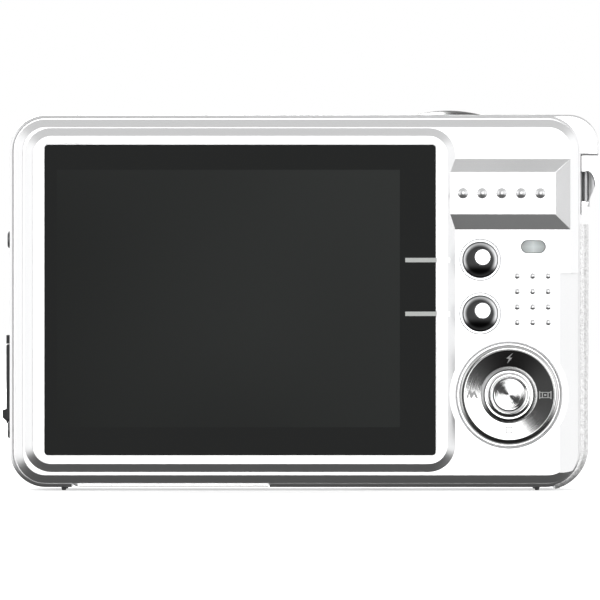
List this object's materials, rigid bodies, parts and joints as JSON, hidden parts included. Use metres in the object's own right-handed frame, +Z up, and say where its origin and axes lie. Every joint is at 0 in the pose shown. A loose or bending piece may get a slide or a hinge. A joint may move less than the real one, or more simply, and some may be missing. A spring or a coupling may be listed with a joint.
{
  "type": "compact digital camera",
  "caption": "Compact digital camera in silver: large rear screen, menu and mode buttons, four-way pad with centre button, hinged battery door, socket flap, strap ear and lens.",
  "frame": {"origin": "on the table under the middle of the camera, centred on its box", "axes": "+X to the right of the person who looks at the screen, +Y out of the lens, +Z up"},
  "size_m": [0.096, 0.0241, 0.0611],
  "materials": {
    "silver_paint": "satin silver paint",
    "grip_paint": "fine grained silver",
    "lens_trim": "satin silver paint",
    "chrome": "polished",
    "shutter_metal": "polished",
    "steel": "plain",
    "window": "gloss, black border",
    "panel": "gloss",
    "flex": "satin",
    "gimbal": "satin",
    "light_pipe": "clear",
    "circuit_board": "satin",
    "black_plastic": "satin",
    "battery_wrap": "satin",
    "contacts": "gold plated",
    "latch_orange": "satin",
    "rubber": "matte",
    "card_shell": "satin",
    "lens_glass": "coated",
    "filter_glass": "coated",
    "sensor": "gloss",
    "flash_cover": "ribbed, clear",
    "capacitor_sleeve": "satin",
    "lamp": "clear red"
  },
  "bodies": {
    "camera": {"front_shell": "silver_paint", "rear_cover": "silver_paint", "top_plate": "silver_paint", "strap_lug": "silver_paint", "strap_bar": "steel", "side_grip": "grip_paint", "screen_window": "window", "screen_panel": "panel", "screen_backlight": "steel", "screen_flex": "flex", "status_light_pipe": "light_pipe", "shutter_cup": "chrome", "shutter_spring": "steel", "key_board": "circuit_board", "key_switches": "steel", "top_board": "circuit_board", "top_switches": "steel", "main_board": "circuit_board", "board_chips": "black_plastic", "chassis": "steel", "battery_bay": "black_plastic", "battery": "battery_wrap", "battery_contacts": "contacts", "door_hinge_pin": "steel", "card_contacts": "contacts", "lens_ring": "lens_trim", "lens_cone": "black_plastic", "lens_cover_glass": "lens_glass", "lens_barrel": "black_plastic", "front_element": "lens_glass", "rear_element": "lens_glass", "infrared_filter": "filter_glass", "image_sensor": "sensor", "sensor_board": "circuit_board", "flash_window": "flash_cover", "flash_reflector": "chrome", "flash_tube": "lens_glass", "flash_capacitor": "capacitor_sleeve", "timer_lamp": "lamp", "microphone": "steel", "speaker": "black_plastic", "usb_socket": "steel", "usb_board": "circuit_board", "usb_flap_root": "rubber", "tripod_insert": "steel", "side_screws": "steel", "bottom_screws": "steel", "feet": "rubber"},
    "shutter": {"shutter_button": "shutter_metal"},
    "power": {"power_button": "chrome"},
    "menu_key": {"menu_button": "chrome"},
    "mode_key": {"mode_button": "chrome"},
    "gimbal": {"four_way_gimbal": "gimbal"},
    "four_way_pad": {"four_way_ring": "chrome"},
    "ok_key": {"ok_button": "chrome"},
    "door": {"battery_door": "silver_paint"},
    "door_lock": {"door_latch": "rubber"},
    "battery_lever": {"battery_latch": "latch_orange"},
    "card": {"memory_card": "card_shell"},
    "socket_flap": {"usb_flap": "rubber"}
  },
  "joints": [
    {"name": "shutter_press", "type": "slide", "parent": "camera", "child": "shutter", "axis": [0, 0, -1], "range_m": [0, 0.0008], "stiffness_N_per_m": 900, "springref_m": -0.0004, "deforming": ["shutter_spring"]},
    {"name": "power_press", "type": "slide", "parent": "camera", "child": "power", "axis": [0, 0, -1], "range_m": [0, 0.0005], "stiffness_N_per_m": 900, "springref_m": -0.0004},
    {"name": "menu_press", "type": "slide", "parent": "camera", "child": "menu_key", "axis": [0, 1, 0], "range_m": [0, 0.0005], "stiffness_N_per_m": 900, "springref_m": -0.0004},
    {"name": "mode_press", "type": "slide", "parent": "camera", "child": "mode_key", "axis": [0, 1, 0], "range_m": [0, 0.0005], "stiffness_N_per_m": 900, "springref_m": -0.0004},
    {"name": "pad_up_down", "type": "hinge", "parent": "camera", "child": "gimbal", "pos_m": [0.03347, -0.0087, 0.01535], "axis": [1, 0, 0], "range_deg": [-1.8, 1.8], "stiffness_Nm_per_rad": 0.1},
    {"name": "pad_left_right", "type": "hinge", "parent": "gimbal", "child": "four_way_pad", "pos_m": [0.03347, -0.0087, 0.01535], "axis": [0, 0, 1], "range_deg": [-1.8, 1.8], "stiffness_Nm_per_rad": 0.1},
    {"name": "ok_press", "type": "slide", "parent": "camera", "child": "ok_key", "axis": [0, 1, 0], "range_m": [0, 0.0005], "stiffness_N_per_m": 900, "springref_m": -0.0004},
    {"name": "door_swing", "type": "hinge", "parent": "camera", "child": "door", "pos_m": [-0.03562, 0, 0.0015], "axis": [0, 1, 0], "range_deg": [0, 90]},
    {"name": "door_lock_slide", "type": "slide", "parent": "door", "child": "door_lock", "axis": [-1, 0, 0], "range_m": [0, 0.002]},
    {"name": "battery_lever_slide", "type": "slide", "parent": "camera", "child": "battery_lever", "axis": [0, 1, 0], "range_m": [0, 0.0016], "stiffness_N_per_m": 300, "springref_m": -0.0005},
    {"name": "card_press", "type": "slide", "parent": "camera", "child": "card", "axis": [0, 0, 1], "range_m": [0, 0.0008], "stiffness_N_per_m": 300, "springref_m": -0.0004},
    {"name": "flap_swing", "type": "hinge", "parent": "camera", "child": "socket_flap", "pos_m": [-0.047, 0, 0.0231], "axis": [0, 1, 0], "range_deg": [0, 100]}
  ]
}
